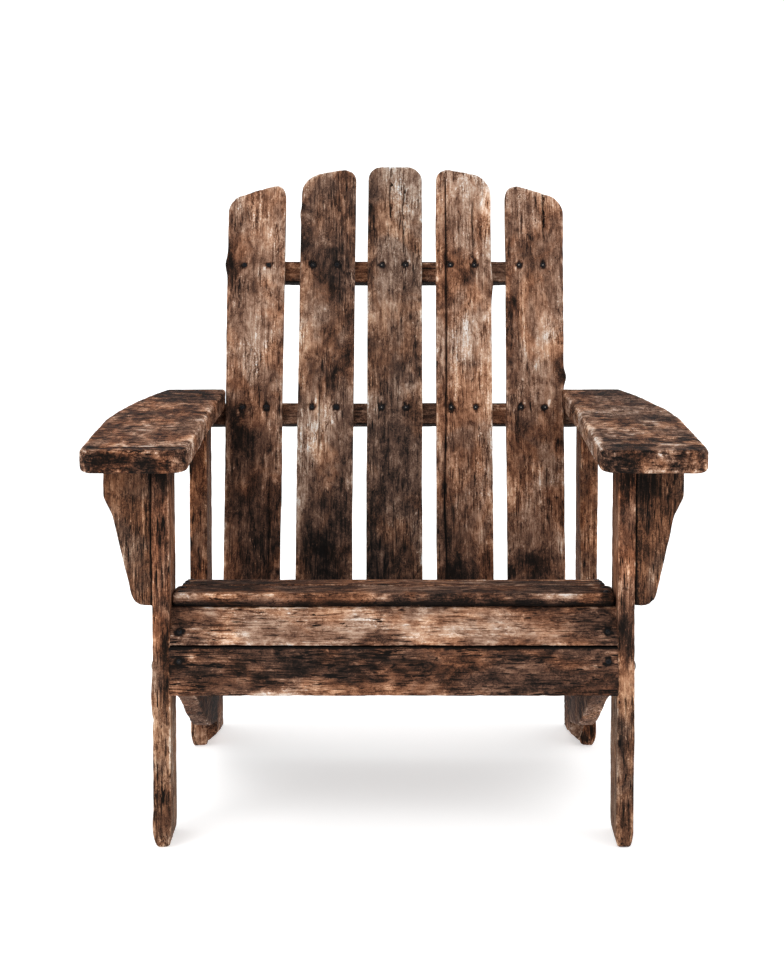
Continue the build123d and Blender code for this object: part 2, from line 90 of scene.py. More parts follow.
# Marks round the screws, on the faces that their heads lie on
SCREW_LET_IN = 0.9  # how far the heads have sunk into the wood
SCREW_DIMPLE = 4.4  # reach of the hollow round a head
DIMPLE_DEPTH = 1.25 * SCREW_LET_IN
SCREW_STAIN = 6.8  # how far the black stain round a screw reaches
STAIN_DARK, STAIN_FADE, STAIN_WANDER, STAIN_GRAIN = 0.85, 1.6, 2.6, 4.5
RUN_ABOVE, RUN_WIDE, RUN_LONG, RUN_SHIFT = 7.0, 3.4, 6.0, 3.0  # black run above it
RUN_DARK, RUN_MIDDLE = 0.5, 0.6
PALE_BESIDE, PALE_WIDE, PALE_LONG, PALE_SHIFT = 5.5, 1.9, 4.5, 30.0  # and pale chip
PALE_LUCK, PALE_TONE = 0.15, 0.468
LUCK_SCALE, LUCK_MOVE = 0.73, 5.5
FACING, SKIN, SCREW_REACH = 0.8, 5.0, 12.0  # which heads and points are near enough

# ------ noise and lattices
HASH_STEPS = np.array((374761393, 668265263, 1440662683))
HASH_SEED, HASH_MIX, HASH_BITS = 144665, 1274126177, 0xFFFFFFFF
OCTAVE_SEED, OCTAVE_HEIGHT = 31, 0.58


def eased(share):
    """0 to 1 with a slow start and a slow end."""
    return share * share * (3 - 2 * share)


def noise(points, seed):
    """Smooth noise in -1..1 at (n, 3) points, the same each run for a seed."""
    points = np.asarray(points, float)
    base = np.floor(points).astype(np.int64)
    part = eased(points - base)
    total = np.zeros(len(points))
    for corner in np.ndindex(2, 2, 2):
        code = ((base + corner) @ HASH_STEPS + seed * HASH_SEED) & HASH_BITS
        code = ((code ^ (code >> 13)) * HASH_MIX) & HASH_BITS
        value = ((code ^ (code >> 16)) & 0xFFFF) / 32767.5 - 1
        weight = np.prod(np.where(corner, part, 1 - part), axis=1)
        total += value * weight
    return total


def layered(points, seed, octaves):
    """Noise summed over octaves, each half the size and a little over half the height."""
    total = np.zeros(len(points))
    for octave in range(octaves):
        layer = noise(points * 2 ** octave, seed + OCTAVE_SEED * octave)
        total += layer * OCTAVE_HEIGHT ** octave
    return total


def bump(value, middle, size):
    """1 at the middle value, fading to 0 on both sides."""
    return np.exp(-((value - middle) / size) ** 2)


def near(distance, reach, full=1.0):
    """1 at no distance, falling evenly to 0: at the reach, or later if full is over 1."""
    return np.clip(full - distance / reach, 0, 1)


def corner_drop(distance, radius):
    """How far a round corner falls away this far in from its edge."""
    reach = np.clip(radius - distance, 0, radius)
    return radius - np.sqrt(radius ** 2 - reach ** 2)


def spaced(length, step, dense):
    """Positions from 0 to a length: close together near both ends, even between."""
    near_end = [share * dense for share in DENSE_SHARES]
    count = max(2, round((length - 2 * dense) / step))
    middle = np.linspace(dense, length - dense, count + 1)
    return np.array(near_end[:-1] + list(middle) + [length - p for p in near_end[-2::-1]])


def box_lattice(us, vs, ws):
    """Indices of a box's surface points in three position lists, and its quads."""
    shape = (len(us), len(vs), len(ws))
    inside = np.zeros(shape, bool)
    inside[1:-1, 1:-1, 1:-1] = True
    ids = np.full(shape, -1)
    ids[~inside] = np.arange((~inside).sum())
    quads = []
    for sheet, flip in ((ids[:, :, -1], False), (ids[:, :, 0], True),
                        (ids[-1], False), (ids[0], True),
                        (ids[:, -1], True), (ids[:, 0], False)):
        quad = np.stack((sheet[:-1, :-1], sheet[1:, :-1], sheet[1:, 1:], sheet[:-1, 1:]),
                        -1).reshape(-1, 4)
        quads.append(quad[:, ::-1] if flip else quad)
    return np.argwhere(~inside), np.concatenate(quads)


# ------ reading the frame
def read(items, key, width, kind=float):
    """A mesh's numbers under a key, so many to a row."""
    values = np.zeros(len(items) * width, kind)
    items.foreach_get(key, values)
    return values.reshape(-1, width)


def node_points(name):
    """Points of a CAD node, in millimetres."""
    return read(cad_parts[name].data.vertices, "co", 3) / MM


def node_edges(name):
    """The two point numbers of each edge of a CAD node."""
    return read(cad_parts[name].data.edges, "vertices", 2, int)


def show_normal(name):
    """Direction of a board's broad face that looks forwards or up."""
    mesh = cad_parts[name].data
    sums = {}
    for face in mesh.polygons:
        key = tuple(round(c, 2) for c in face.normal)
        if key[2] - key[1] > 0:
            sums[key] = sums.get(key, 0) + face.area
    best = max(sums, key=sums.get)
    return np.array(best) / np.linalg.norm(best)


class Place:
    """A board's own frame: axes across, through and along it, and its low corner."""

    def __init__(self, node, across, through, along):
        self.node = node
        self.axes = np.array([across, through, along], float)
        local = node_points(node) @ self.axes.T
        self.low = local.min(0)
        self.size = local.max(0) - self.low

    def to_local(self, points):
        return np.asarray(points) @ self.axes.T - self.low

    def to_world(self, local):
        return (local + self.low) @ self.axes

    def sections(self, breaks):
        """Stations along the board, and the least and most u and v at each."""
        local = self.to_local(node_points(self.node))
        edges = node_edges(self.node)
        start, end = local[edges[:, 0]], local[edges[:, 1]]
        length = self.size[2]
        stations = set(np.linspace(STATION_SPARE, length - STATION_SPARE, STATIONS))
        for edge in END_STATIONS:
            stations |= {edge, length - edge}
        for cut in breaks:
            stations |= {cut - BREAK_SPARE, cut + BREAK_SPARE}
        rows = []
        for station in sorted(stations):
            crossing = (start[:, 2] - station) * (end[:, 2] - station) < 0
            if not crossing.any():
                continue
            a, b = start[crossing], end[crossing]
            share = (station - a[:, 2]) / (b[:, 2] - a[:, 2])
            hit = a + (b - a) * share[:, None]
            rows.append((station, hit[:, 0].min(), hit[:, 0].max(),
                         hit[:, 1].min(), hit[:, 1].max()))
        return np.array(rows).T


def solid_islands(name):
    """Points of each separate solid in a node of many solids."""
    points = node_points(name)
    keys, joined = np.unique(points.round(3), axis=0, return_inverse=True)
    joined = joined.ravel()
    parent = list(range(len(keys)))

    def root(item):
        while parent[item] != item:
            parent[item] = parent[parent[item]]
            item = parent[item]
        return item

    for a, b in node_edges(name):
        parent[root(joined[a])] = root(joined[b])
    groups = {}
    for index in range(len(keys)):
        groups.setdefault(root(index), []).append(index)
    return [keys[members] for members in groups.values()]


def fastener_seats(name):
    """(point under the head, outward direction, length) of each screw in a node."""
    seats = []
    for points in solid_islands(name):
        middle = points.mean(0)
        spread = np.linalg.svd(points - middle, full_matrices=False)[2][0]
        along = (points - middle) @ spread
        radius = np.linalg.norm(points - middle - np.outer(along, spread), axis=1)
        if along[radius > 0.95 * radius.max()].mean() < 0:
            spread, along = -spread, -along
        ring = along[radius > 0.98 * radius.max()].min()
        seats.append((middle + spread * ring, spread, ring - along.min()))
    return seats


# ------ mesh making
def new_object(name, points, faces, smooth=True):
    """Mesh object from points in millimetres."""
    mesh = bpy.data.meshes.new(name)
    mesh.from_pydata((np.asarray(points) * MM).tolist(), [], [list(f) for f in faces])
    mesh.validate()
    mesh.update()
    mesh.polygons.foreach_set("use_smooth", [smooth] * len(mesh.polygons))
    obj = bpy.data.objects.new(name, mesh)
    scene.collection.objects.link(obj)
    return obj


def ring_faces(start, rings, sides):
    """Faces of a middle point and the rings of points after it."""
    faces = []
    for k in range(sides):
        after = (k + 1) % sides
        faces.append((start, start + 1 + k, start + 1 + after))
        for ring in range(rings - 1):
            low = start + 1 + ring * sides
            high = low + sides
            faces.append((low + k, high + k, high + after, low + after))
    return faces


def store(mesh, name, values):
    """Keep (n, 3) values on a mesh's points for the material to read."""
    layer = mesh.attributes.new(name, "FLOAT_VECTOR", "POINT")
    layer.data.foreach_set("vector", np.ascontiguousarray(values, np.float32).ravel())


screw_seats = []  # every screw's seat, for dimples and stains


def rounded(p, size, rounds):
    """Round a box's edges, by the first radius at low u and by the second at high u."""
    radius = np.where(p[:, 0] < size[0] / 2, rounds[0], rounds[1])[:, None]
    radius = np.minimum(radius, size.min() / 2 - FLAT_HALF)
    core = np.clip(p, radius, size - radius)
    out = p - core
    reach = np.linalg.norm(out, axis=1, keepdims=True)
    return core + out / np.maximum(reach, 1e-9) * np.abs(out).max(1, keepdims=True)


def fitted(p, place, breaks, own_end):
    """Stretch a box's sections to the CAD board's, up to the last length, own_end."""
    stations, low_u, high_u, low_v, high_v = place.sections(breaks)
    w = np.minimum(p[:, 2], place.size[2] - own_end)
    for axis, low, high in ((0, low_u, high_u), (1, low_v, high_v)):
        least, most = np.interp(w, stations, low), np.interp(w, stations, high)
        p[:, axis] = least + p[:, axis] / place.size[axis] * (most - least)
    return p


def open_cracks(p, size, index, lines, runs, seed):
    """Move the shown face's points to its cracks, and return how deep they are there.

    A run is the axis that a crack follows, where that axis' shares start, and the crack.
    One line of the mesh becomes the crack's bottom, and its neighbours its sides."""
    front = index[:, 1] == len(lines[1]) - 1
    depths = np.zeros(len(p))
    for run, start, (s, from_t, to_t, half_width, depth, wander) in runs:
        side = 2 - run
        column = int(np.abs(lines[side] - (s + 1) / 2 * size[side]).argmin())
        t = (p[:, run] - start) / (size[run] - start)
        middle = (from_t + to_t) / 2
        half = (to_t - from_t) / 2
        active = np.clip(1 - np.abs((t - middle) / half) ** CRACK_BLUNT, 0, 1)
        wobble = wander * noise(np.stack((t * CRACK_WAVES, t * 0, t * 0), 1), seed + 77)
        home = lines[side][column]
        pull = active * front * bump(p[:, side], home, CRACK_PULL)
        p[:, side] += wobble * pull
        here = front & (index[:, side] == column)
        depths[here] += (depth * active)[here]
        for step in (-1, 1):
            beside = front & (index[:, side] == column + step)
            target = home + wobble + step * half_width
            p[beside, side] += ((target - p[:, side]) * active)[beside]
            depths[beside] += (CRACK_SIDE * depth * active)[beside]
    return depths


def screw_marks(p, place, grain, seed):
    """Hollow, dark and pale marks at each point, from the screws near it."""
    dimple, dark, paler = np.zeros((3, len(p)))
    for seat, outward, _ in screw_seats:
        at = place.to_local(seat)
        facing = place.axes @ outward
        if facing[1] < FACING or abs(at[1] - place.size[1]) > SKIN:
            continue
        far = np.hypot(p[:, 0] - at[0], p[:, 2] - at[2])
        if far.min() > SCREW_REACH:
            continue
        near_face = near(place.size[1] - p[:, 1], SKIN)
        dimple += near_face * bump(far, 0, SCREW_DIMPLE)
        ragged = far + STAIN_WANDER * noise(grain / STAIN_GRAIN, seed + 8)
        dark += STAIN_DARK * near_face * np.clip((SCREW_STAIN - ragged) / STAIN_FADE, 0, 1)
        luck = noise(np.array([at]) * LUCK_SCALE + LUCK_MOVE, seed + 9)[0]
        above = (bump(p[:, 0], at[0] + RUN_SHIFT * luck, RUN_WIDE)
                 * bump(p[:, 2], at[2] + RUN_ABOVE, RUN_LONG))
        dark += RUN_DARK * near_face * above * (RUN_MIDDLE + luck)
        beside = at[0] + (PALE_BESIDE if luck > 0 else -PALE_BESIDE)
        paler += (PALE_TONE * near_face * (abs(luck) > PALE_LUCK)
                  * bump(p[:, 0], beside, PALE_WIDE)
                  * bump(p[:, 2], at[2] + PALE_SHIFT * luck, PALE_LONG))
    return dimple, dark, paler


def tone_of(local, size, patches, seed, show_from):
    """Light and dark areas: soft patches with wandering outlines."""
    across, along = size[0], size[2]
    drift = local / PATCH_DRIFT
    u = local[:, 0] + DRIFT_ACROSS * layered(drift, seed + 5, 3)
    w = local[:, 2] + DRIFT_ALONG * layered(drift, seed + 6, 3)
    tone = np.zeros(len(local))
    for s, t, wide, long, amount in patches:
        middle_u = (s + 1) / 2 * across
        middle_w = show_from + t * (along - show_from)
        tone += amount * np.exp(-((u - middle_u) / (wide * across / 2)) ** 2
                                - ((w - middle_w) / (long * (along - show_from))) ** 2)
    return tone


def board(name, place, slot, look, seed, shape=None, rounds=(ARRIS, ARRIS), cracks=(),
          splits=(), steps=(ACROSS_STEP, GRAIN_STEP), breaks=(), show_from=0.0,
          own_end=0.0, chip=1.1, grain_order=(0, 1, 2), grain_scale=(1, 1, 1),
          darkening=None, pale=None, end_tone=0.0, tints=(PLAIN, PLAIN)):
    """One worn board, fitted to its CAD node.

    look: base tone and patches. shape: moves its points
    rounds: edge radii at low and high u. steps: mesh spacing across and along
    cracks, splits: those along w, and those along u with the two axes exchanged
    breaks: where along it the section jumps
    show_from, own_end: hidden length at low w, and length at high w not fitted
    chip: depth of the chips on its edges
    grain_order, grain_scale: axes and scales of the grain's relief
    darkening, pale: give the painted shade among its dark marks, and the painted light
    that its tone gains
    end_tone: what the tone gains on the end at low w
    tints: colours that multiply the wood's at low and high w"""
    size = place.size
    dense = ROUND_DENSE * max(rounds)
    us = spaced(size[0], steps[0], dense)
    vs = spaced(size[1], max(steps[0], THROUGH_STEP), dense)
    ws = spaced(size[2], steps[1], END_DENSE)
    for cut in breaks:
        ws = np.sort(np.append(ws, [cut - BREAK_HALF, cut + BREAK_HALF]))
    index, quads = box_lattice(us, vs, ws)
    p = np.stack((us[index[:, 0]], vs[index[:, 1]], ws[index[:, 2]]), 1)
    from_edge = np.sort(np.minimum(p, size - p), axis=1)[:, 1]
    p = fitted(rounded(p, size, rounds), place, breaks, own_end)
    if shape:
        p = shape(p.copy(), size)
    # Painted light on shaded sides and undersides, from the given function
    paler = pale(p, size) if pale else 0.0
    runs = [(2, show_from, crack) for crack in cracks]
    runs += [(0, 0.0, split) for split in splits]
    depths = open_cracks(p, size, index, (us, vs, ws), runs, seed)

    faces = quads if np.linalg.det(place.axes) > 0 else quads[:, ::-1]
    obj = new_object(name, place.to_world(p), faces)
    mesh = obj.data
    normal = read(mesh.vertex_normals, "vector", 3) @ place.axes.T

    grain = p[:, grain_order] * grain_scale
    grain = grain + np.array((seed * 211.0, seed * 97.0, seed * 613.0))
    push = RIPPLE_RISE * layered(grain / RIPPLE, seed, 2)
    push += (FIBRE_RISE * noise(grain / FIBRE, seed + 1)
             + THREAD_RISE * noise(grain / FIBRE * THREAD_FINER, seed + 2))
    worn = np.exp(-from_edge / WORN_REACH)
    push -= chip * worn * np.clip(layered(grain / CHIP, seed + 3, 2), CHIP_OUT, 1)
    push -= depths
    dimple, dark, chipped = screw_marks(p, place, grain, seed)
    push -= DIMPLE_DEPTH * dimple
    p = p + normal * push[:, None]
    mesh.vertices.foreach_set("co", (place.to_world(p) * MM).ravel())

    base, patches = look
    tone = base + tone_of(p, size, patches, seed, show_from) + chipped + paler
    tone += end_tone * near(p[:, 2], END_FADE, END_FULL)
    # Painted shade in the cracks, darker where they are deeper
    dark += depths / CRACK_BLACK
    # Painted shade along edges, seams and under the nose, from the given function
    if darkening:
        dark += darkening(p, size)
    dark = np.clip(dark, 0, 1)
    share = np.clip((p[:, 2:] / size[2] - TINT_FROM) / TINT_OVER, 0, 1)
    store(mesh, "grain", grain * MM)
    store(mesh, "paint", np.stack((tone, worn, dark), 1))
    store(mesh, "tint", np.array(tints[0]) * (1 - share) + np.array(tints[1]) * share)
    mesh.update()
    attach(obj, BODY)
    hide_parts(place.node)
    obj.data.materials.append(wood[slot])


def spots(*rows):
    """Patches from rows of hundredths."""
    return [tuple(number / 100 for number in row) for row in rows]


def random_patches(seed, count=7):
    """Patches for a board of which the photograph shows little."""
    rng = np.random.default_rng(seed)
    return [(rng.uniform(-1, 1), rng.uniform(0, 1), rng.uniform(0.4, 1.0),
             rng.uniform(0.05, 0.16), rng.uniform(-0.22, 0.2)) for _ in range(count)]


# ------ materials
def srgb(red, green, blue):
    """Screen colour, 0..255, as linear light for a shader."""
    def linear(c):
        c /= 255
        return c / 12.92 if c <= 0.04045 else ((c + 0.055) / 1.055) ** 2.4
    return linear(red), linear(green), linear(blue), 1.0


# Weathered wood from its darkest stain to bare bleached fibre
WOOD_TONES = {0.00: (17, 13, 11), 0.09: (30, 22, 18), 0.17: (44, 31, 25),
              0.25: (57, 39, 31), 0.37: (82, 56, 44), 0.50: (110, 78, 61),
              0.63: (144, 110, 90), 0.76: (174, 142, 120), 0.86: (193, 168, 150),
              1.00: (220, 210, 202)}
COOL, WARM = (0.96, 1.0, 1.03), (1.10, 0.95, 0.82)  # tints of its broad areas
# The last colour is that of the painted glint and dust on the screw heads
STEEL, RUST, GLINT_AND_DUST = (17, 19, 23), (36, 25, 19), (168, 158, 148)


class Graph:
    """Short ways to add and join a material's nodes."""

    def __init__(self, tree):
        self.tree = tree
        tree.nodes.clear()

    def feed(self, socket, value):
        """Join another node's socket to this one, or set its constant."""
        if isinstance(value, bpy.types.NodeSocket):
            self.tree.links.new(value, socket)
        else:
            socket.default_value = value

    def add(self, kind, settings=(), inputs=()):
        node = self.tree.nodes.new("ShaderNode" + kind)
        for key, value in dict(settings).items():
            setattr(node, key, value)
        for key, value in dict(inputs).items():
            self.feed(node.inputs[key], value)
        return node

    def attribute(self, name):
        return self.add("Attribute", {"attribute_name": name}).outputs["Vector"]

    def split(self, vector):
        return self.add("SeparateXYZ", inputs={0: vector}).outputs

    def maths(self, operation, first, second=0.0, third=0.0):
        return self.add("Math", {"operation": operation},
                        {0: first, 1: second, 2: third}).outputs[0]

    def total(self, *terms):
        """Sum of terms; two that stand together in brackets are multiplied first."""
        terms = [self.maths("MULTIPLY", *term) if isinstance(term, tuple) else term
                 for term in terms]
        result = terms[0]
        for term in terms[1:]:
            result = self.maths("ADD", result, term)
        return result

    def noise(self, vector, scale, detail=4.0, roughness=0.6, twist=0.0, move=0.0):
        """Noise less its middle value, stretched by three scales per metre."""
        mapped = self.add("Mapping", inputs={
            "Vector": vector, "Scale": scale,
            "Location": (move, move * 1.7, move * 0.6)}).outputs[0]
        pattern = self.add("TexNoise", inputs={
            "Vector": mapped, "Scale": 1.0, "Detail": detail, "Roughness": roughness,
            "Distortion": twist}).outputs[0]
        return self.maths("SUBTRACT", pattern, 0.5)

    def above(self, value, start, end):
        """0 below the start value, rising to 1 at the end value."""
        return self.add("MapRange", {"interpolation_type": "SMOOTHSTEP"}, {
            "Value": value, "From Min": start, "From Max": end}).outputs[0]

    def ramp(self, value, stops):
        node = self.add("ValToRGB", inputs={0: value})
        elements = node.color_ramp.elements
        for position, colour in stops[1:-1]:
            elements.new(position).color = colour
        elements[0].position, elements[0].color = stops[0]
        elements[-1].position, elements[-1].color = stops[-1]
        return node.outputs[0]

    def mix(self, share, first, second, blend="MIX"):
        return self.add("Mix", {"data_type": "RGBA", "blend_type": blend},
                        {0: share, 6: first, 7: second}).outputs[2]

    def surface(self, inputs, height, strength, distance):
        bumped = self.add("Bump", inputs={"Height": height, "Strength": strength,
                                          "Distance": distance}).outputs[0]
        shader = self.add("BsdfPrincipled", inputs={**inputs, "Normal": bumped})
        output = self.add("OutputMaterial")
        self.tree.links.new(shader.outputs[0], output.inputs[0])


def wood_material(name, red=0.0, coarse=1.0, furrows=1.0, wear=0.06, relief=1.0,
                  marks=1.0, clouds=1.0):
    """Bare weathered wood. Its tone, wear, dark marks and tint come from the mesh.

    red warms it, wear makes its edges paler and relief raises its bumps. The others
    strengthen its mottle, its grain, its small dark marks and its broad areas."""
    material = bpy.data.materials.new(name)
    material.use_nodes = True
    g = Graph(material.node_tree)
    grain = g.attribute("grain")
    tone, worn, dark = g.split(g.attribute("paint"))[:3]

    # Patterns from the broadest to the finest
    blotch = g.noise(grain, (22, 22, 13), 6, 0.64, 0.8, move=7.7)
    ragged = g.noise(grain, (36, 36, 20), 8, 0.74, 1.1, move=6.2)
    wash = g.noise(grain, (62, 62, 34), 4, 0.6, 0.7, move=8.8)
    mottle = g.noise(grain, (120, 120, 85), 7, 0.76, 0.4, move=1.9)
    streak = g.noise(grain, (240, 240, 12), 5, 0.64, 0.1)
    grit = g.noise(grain, (560, 560, 400), 4, 0.74, move=2.3)
    fibre = g.noise(grain, (900, 900, 55), 3, 0.6, move=3.1)

    # Small marks
    seam = g.noise(grain, (90, 90, 7), 3, 0.55, 0.3, move=14.1)
    seams = g.above(g.maths("ABSOLUTE", seam), 0.012, 0.003)
    checks = g.above(g.noise(grain, (460, 460, 40), 2, 0.5, 0.3, move=5.3), 0.10, 0.15)
    flecks = g.above(g.noise(grain, (340, 340, 170), 4, 0.66, 0.3, move=9.1), 0.11, 0.17)
    chip = g.noise(grain, (170, 170, 75), 3, 0.6, 0.4, move=3.7)
    chips, pits = g.above(chip, 0.17, 0.20), g.above(chip, -0.19, -0.22)

    # Stained and bare areas follow the tone, and marks get ragged outlines
    lean = g.maths("SUBTRACT", tone, 0.5)
    darkening = g.above(g.total(ragged, (mottle, 0.6), grit, (lean, -0.5)), 0.03, 0.11)
    bare = g.above(g.total((mottle, -0.8), (streak, 0.7), (grit, 0.5), (lean, 0.35)),
                   0.10, 0.24)
    uneven = g.maths("MULTIPLY_ADD", g.total(mottle, grit), 2.6, 1.0)
    # The mesh's dark marks are screw stains and painted shade; its tone holds some painted
    # light
    blot = g.above(g.maths("MULTIPLY", dark, uneven), 0.05, 0.95)
    rubbed = g.maths("MULTIPLY_ADD", g.total(blotch, mottle), 1.5, wear)

    # The fine patterns stand out more in some areas
    crisp = g.above(g.noise(grain, (27, 27, 12), 3, 0.5, 0.5, move=12.3), -0.07, 0.09)
    crisp = g.maths("MULTIPLY_ADD", crisp, 0.80, 0.50)
    fine = g.total((streak, 0.62 * furrows), (fibre, 0.32 * furrows),
                   (grit, 0.78 * coarse), (checks, -0.22 * furrows * marks),
                   (flecks, 0.18), (seams, -0.22))
    value = g.total(g.maths("MULTIPLY_ADD", tone, 0.86, 0.07), (fine, crisp),
                    (blotch, 0.36 * clouds), (wash, 0.88 * clouds),
                    (mottle, 0.86 * coarse), (darkening, -0.25 * coarse),
                    (bare, 0.15 * coarse), (chips, 0.15), (pits, -0.26 * marks),
                    (worn, rubbed), (blot, -0.62))
    colour = g.ramp(value, [(at, srgb(*c)) for at, c in WOOD_TONES.items()])
    warmth = g.above(g.noise(grain, (17, 17, 11), 4, 0.6, 0.6, move=4.4), -0.08, 0.12)
    warm = g.mix(warmth, (*COOL, 1.0), (WARM[0] + red, WARM[1], WARM[2] - red, 1.0))
    colour = g.mix(1.0, colour, warm, "MULTIPLY")
    colour = g.mix(1.0, colour, g.attribute("tint"), "MULTIPLY")
    height = g.total((seams, -0.3), (streak, 0.9 * furrows), (fibre, 0.7), (mottle, 0.6),
                     (grit, 0.6), (checks, -0.35))
    rough = g.maths("MULTIPLY_ADD", mottle, 0.3, 0.88)
    g.surface({"Base Color": colour, "Roughness": rough, "Specular IOR Level": 0.08},
              height, 0.85, 0.0017 * relief)
    return material


def steel_material():
    """Blackened, rust-touched steel, with a painted glint and dust where the mesh says so.
    """
    material = bpy.data.materials.new("black_steel")
    material.use_nodes = True
    g = Graph(material.node_tree)
    place = g.add("TexCoord").outputs["Object"]
    rust = g.above(g.noise(place, (260, 260, 260), 5, 0.65), -0.02, 0.14)
    grit = g.noise(place, (1400, 1400, 1400), 3, 0.6, move=2.0)
    # Painted glint and dust in the middle of the heads, as strong as the mesh's paint says
    shine = g.split(g.attribute("paint"))[0]
    bright = g.above(g.maths("MULTIPLY_ADD", grit, 0.8, shine), 0.42, 0.62)
    colour = g.mix(bright, g.mix(rust, srgb(*STEEL), srgb(*RUST)), srgb(*GLINT_AND_DUST))
    rough = g.maths("MULTIPLY_ADD", rust, 0.3, 0.34)
    g.surface({"Base Color": colour, "Metallic": 0.1, "Roughness": rough,
               "Specular IOR Level": 0.14}, grit, 0.5, 0.0004)
    return material


WOODS = {
    "frame_wood": dict(red=0.02, coarse=1.05, furrows=1.7, wear=0.10, marks=1.4,
                       clouds=0.6),
    "arm_wood": dict(red=0.03, coarse=1.4, furrows=1.7, wear=0.22, relief=1.7,
                     clouds=1.45),
    "seat_wood": dict(red=0.05, coarse=1.3, wear=0.12),
    "apron_wood": dict(red=0.02, furrows=1.3, marks=1.9),
    "back_wood": dict(furrows=1.05, wear=0.12),
    "rail_wood": dict(red=0.02, coarse=1.2),
}
wood = {slot: wood_material(slot, **looks) for slot, looks in WOODS.items()}
steel = steel_material()

# ------ fasteners
SCREW_NODES = ("upper_rail_screws", "lower_rail_screws", "bottom_rail_screws",
               "rail_end_screws", "rail_post_screws", "seat_screws", "apron_screws",
               "bracket_screws", "arm_screws")
HEAD_RADIUS, HEAD_HEIGHT, SHANK_RADIUS = 3.9, 2.4, 2.2
HEAD_DOME, HEAD_SPREAD = 3.2, 0.9  # how flat the head's top is, and its rings' order
HEAD_RINGS, HEAD_SIDES = 12, 40
RECESS_ARM, RECESS_HALF, RECESS_DEPTH, RECESS_WALL = 2.3, 0.55, 1.3, 2.5
SHANK_START = -1.0
NECK = ((HEAD_RADIUS, -0.25), (SHANK_RADIUS, -0.3), (SHANK_RADIUS, SHANK_START))
BRIGHT_RADIUS = 1.1  # of the painted glint and dust in the head's middle
ASKEW = (0.31, 0.57, 0.76)  # a direction that no screw has


def screw_points(turn):
    """A domed head with a cross recess, and the start of its shank, about Z."""
    points = [(0.0, 0.0, HEAD_HEIGHT - RECESS_DEPTH)]
    angles = np.linspace(0, 2 * pi, HEAD_SIDES, endpoint=False)
    for ring in range(1, HEAD_RINGS + 1):
        r = HEAD_RADIUS * (ring / HEAD_RINGS) ** HEAD_SPREAD
        for angle in angles:
            x, y = r * cos(angle), r * sin(angle)
            a, b = abs(x * cos(turn) + y * sin(turn)), abs(y * cos(turn) - x * sin(turn))
            z = HEAD_HEIGHT * (1 - (r / HEAD_RADIUS) ** HEAD_DOME)
            in_slot = max(min(1 - a / RECESS_ARM, 1 - b / RECESS_HALF),
                          min(1 - b / RECESS_ARM, 1 - a / RECESS_HALF))
            z -= RECESS_DEPTH * min(max(in_slot * RECESS_WALL, 0), 1)
            points.append((x, y, z))
    for r, z in NECK:
        points += [(r * cos(a), r * sin(a), z) for a in angles]
    return np.array(points)


def make_screws(name):
    """Every screw of a node, each turned its own way."""
    rng = np.random.default_rng(len(name) * 17)
    points, faces, paint = [], [], []
    for seat, outward, length in fastener_seats(name):
        shape = screw_points(rng.uniform(0, pi / 2))
        side = np.cross(outward, ASKEW)
        side /= np.linalg.norm(side)
        axes = np.array([side, np.cross(outward, side), outward])
        shape[shape[:, 2] <= SHANK_START, 2] = -length + SCREW_LET_IN
        start = len(points)
        # How strong this head's painted glint and dust are
        shine = rng.uniform(0.2, 1.0)
        paint += [(shine * bump(np.hypot(x, y), 0, BRIGHT_RADIUS), 0, 0)
                  for x, y in shape[:, :2]]
        let_in = seat - outward * SCREW_LET_IN
        points += list(shape @ axes + let_in)
        faces += ring_faces(start, HEAD_RINGS + len(NECK), HEAD_SIDES)
        tip = len(points)
        points.append(let_in - outward * (length - SCREW_LET_IN))
        paint.append((0, 0, 0))
        last = tip - HEAD_SIDES
        faces += [(last + k, tip, last + (k + 1) % HEAD_SIDES) for k in range(HEAD_SIDES)]
    screws = new_object(name + "_heads", points, faces)
    store(screws.data, "paint", np.array(paint))
    screws.data.materials.append(steel)
    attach(screws, BODY)
    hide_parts(name)


for node in SCREW_NODES:
    screw_seats += fastener_seats(node)
    make_screws(node)
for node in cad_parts:
    if node.split("_")[-1] in ("bolts", "washers", "nuts"):
        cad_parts[node].data.materials.clear()
        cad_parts[node].data.materials.append(steel)

# Wooden plugs over the arms' screws, worn almost level and a little domed
PLUG_SIDES, PLUG_TOP = 28, 0.6
PLUG_PROFILE = [(0.35, 0.55), (0.7, 0.45), (0.9, 0.2), (0.98, -0.2), (0.98, -2.0),
                (0.98, -7.0)]   # share of the radius, and height over the arm
PLUG_TONE, PLUG_TONE_STEP, PLUG_WORN = 0.31, 0.03, 0.3
# Painted shade in the seam round each plug: where it starts, as a share of the radius, and
# how dark
PLUG_RIM, PLUG_RIM_DARK = 0.95, 0.6


